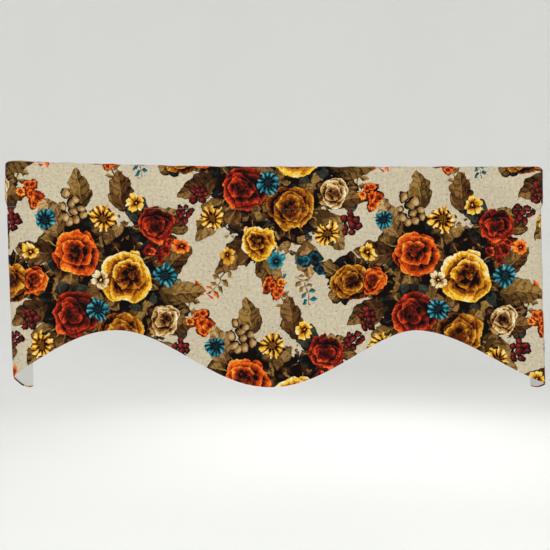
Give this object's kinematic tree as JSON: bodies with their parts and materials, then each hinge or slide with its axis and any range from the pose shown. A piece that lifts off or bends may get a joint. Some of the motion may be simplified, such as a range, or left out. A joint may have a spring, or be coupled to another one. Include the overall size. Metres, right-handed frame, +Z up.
{
  "type": "window valance",
  "caption": "Lined cloth valance with a rod pocket along its top, a return at each end and a hem shaped as a double scallop, printed with flowers on linen",
  "frame": {"origin": "middle of the top edge, on the crown of the fold over the rod pocket", "axes": "+X to the right seen from the room, +Y from the room to the wall, +Z up"},
  "size_m": [1.0792, 0.1308, 0.4668],
  "materials": {
    "printed_cloth": "plain-woven linen with slubs, screen printed with flowers in orange, gold, teal, brown and near black",
    "lining_cloth": "plain pale grey-white cotton lining, matt"
  },
  "bodies": {
    "root": {"face": "printed_cloth", "lining": "lining_cloth"}
  },
  "joints": []
}
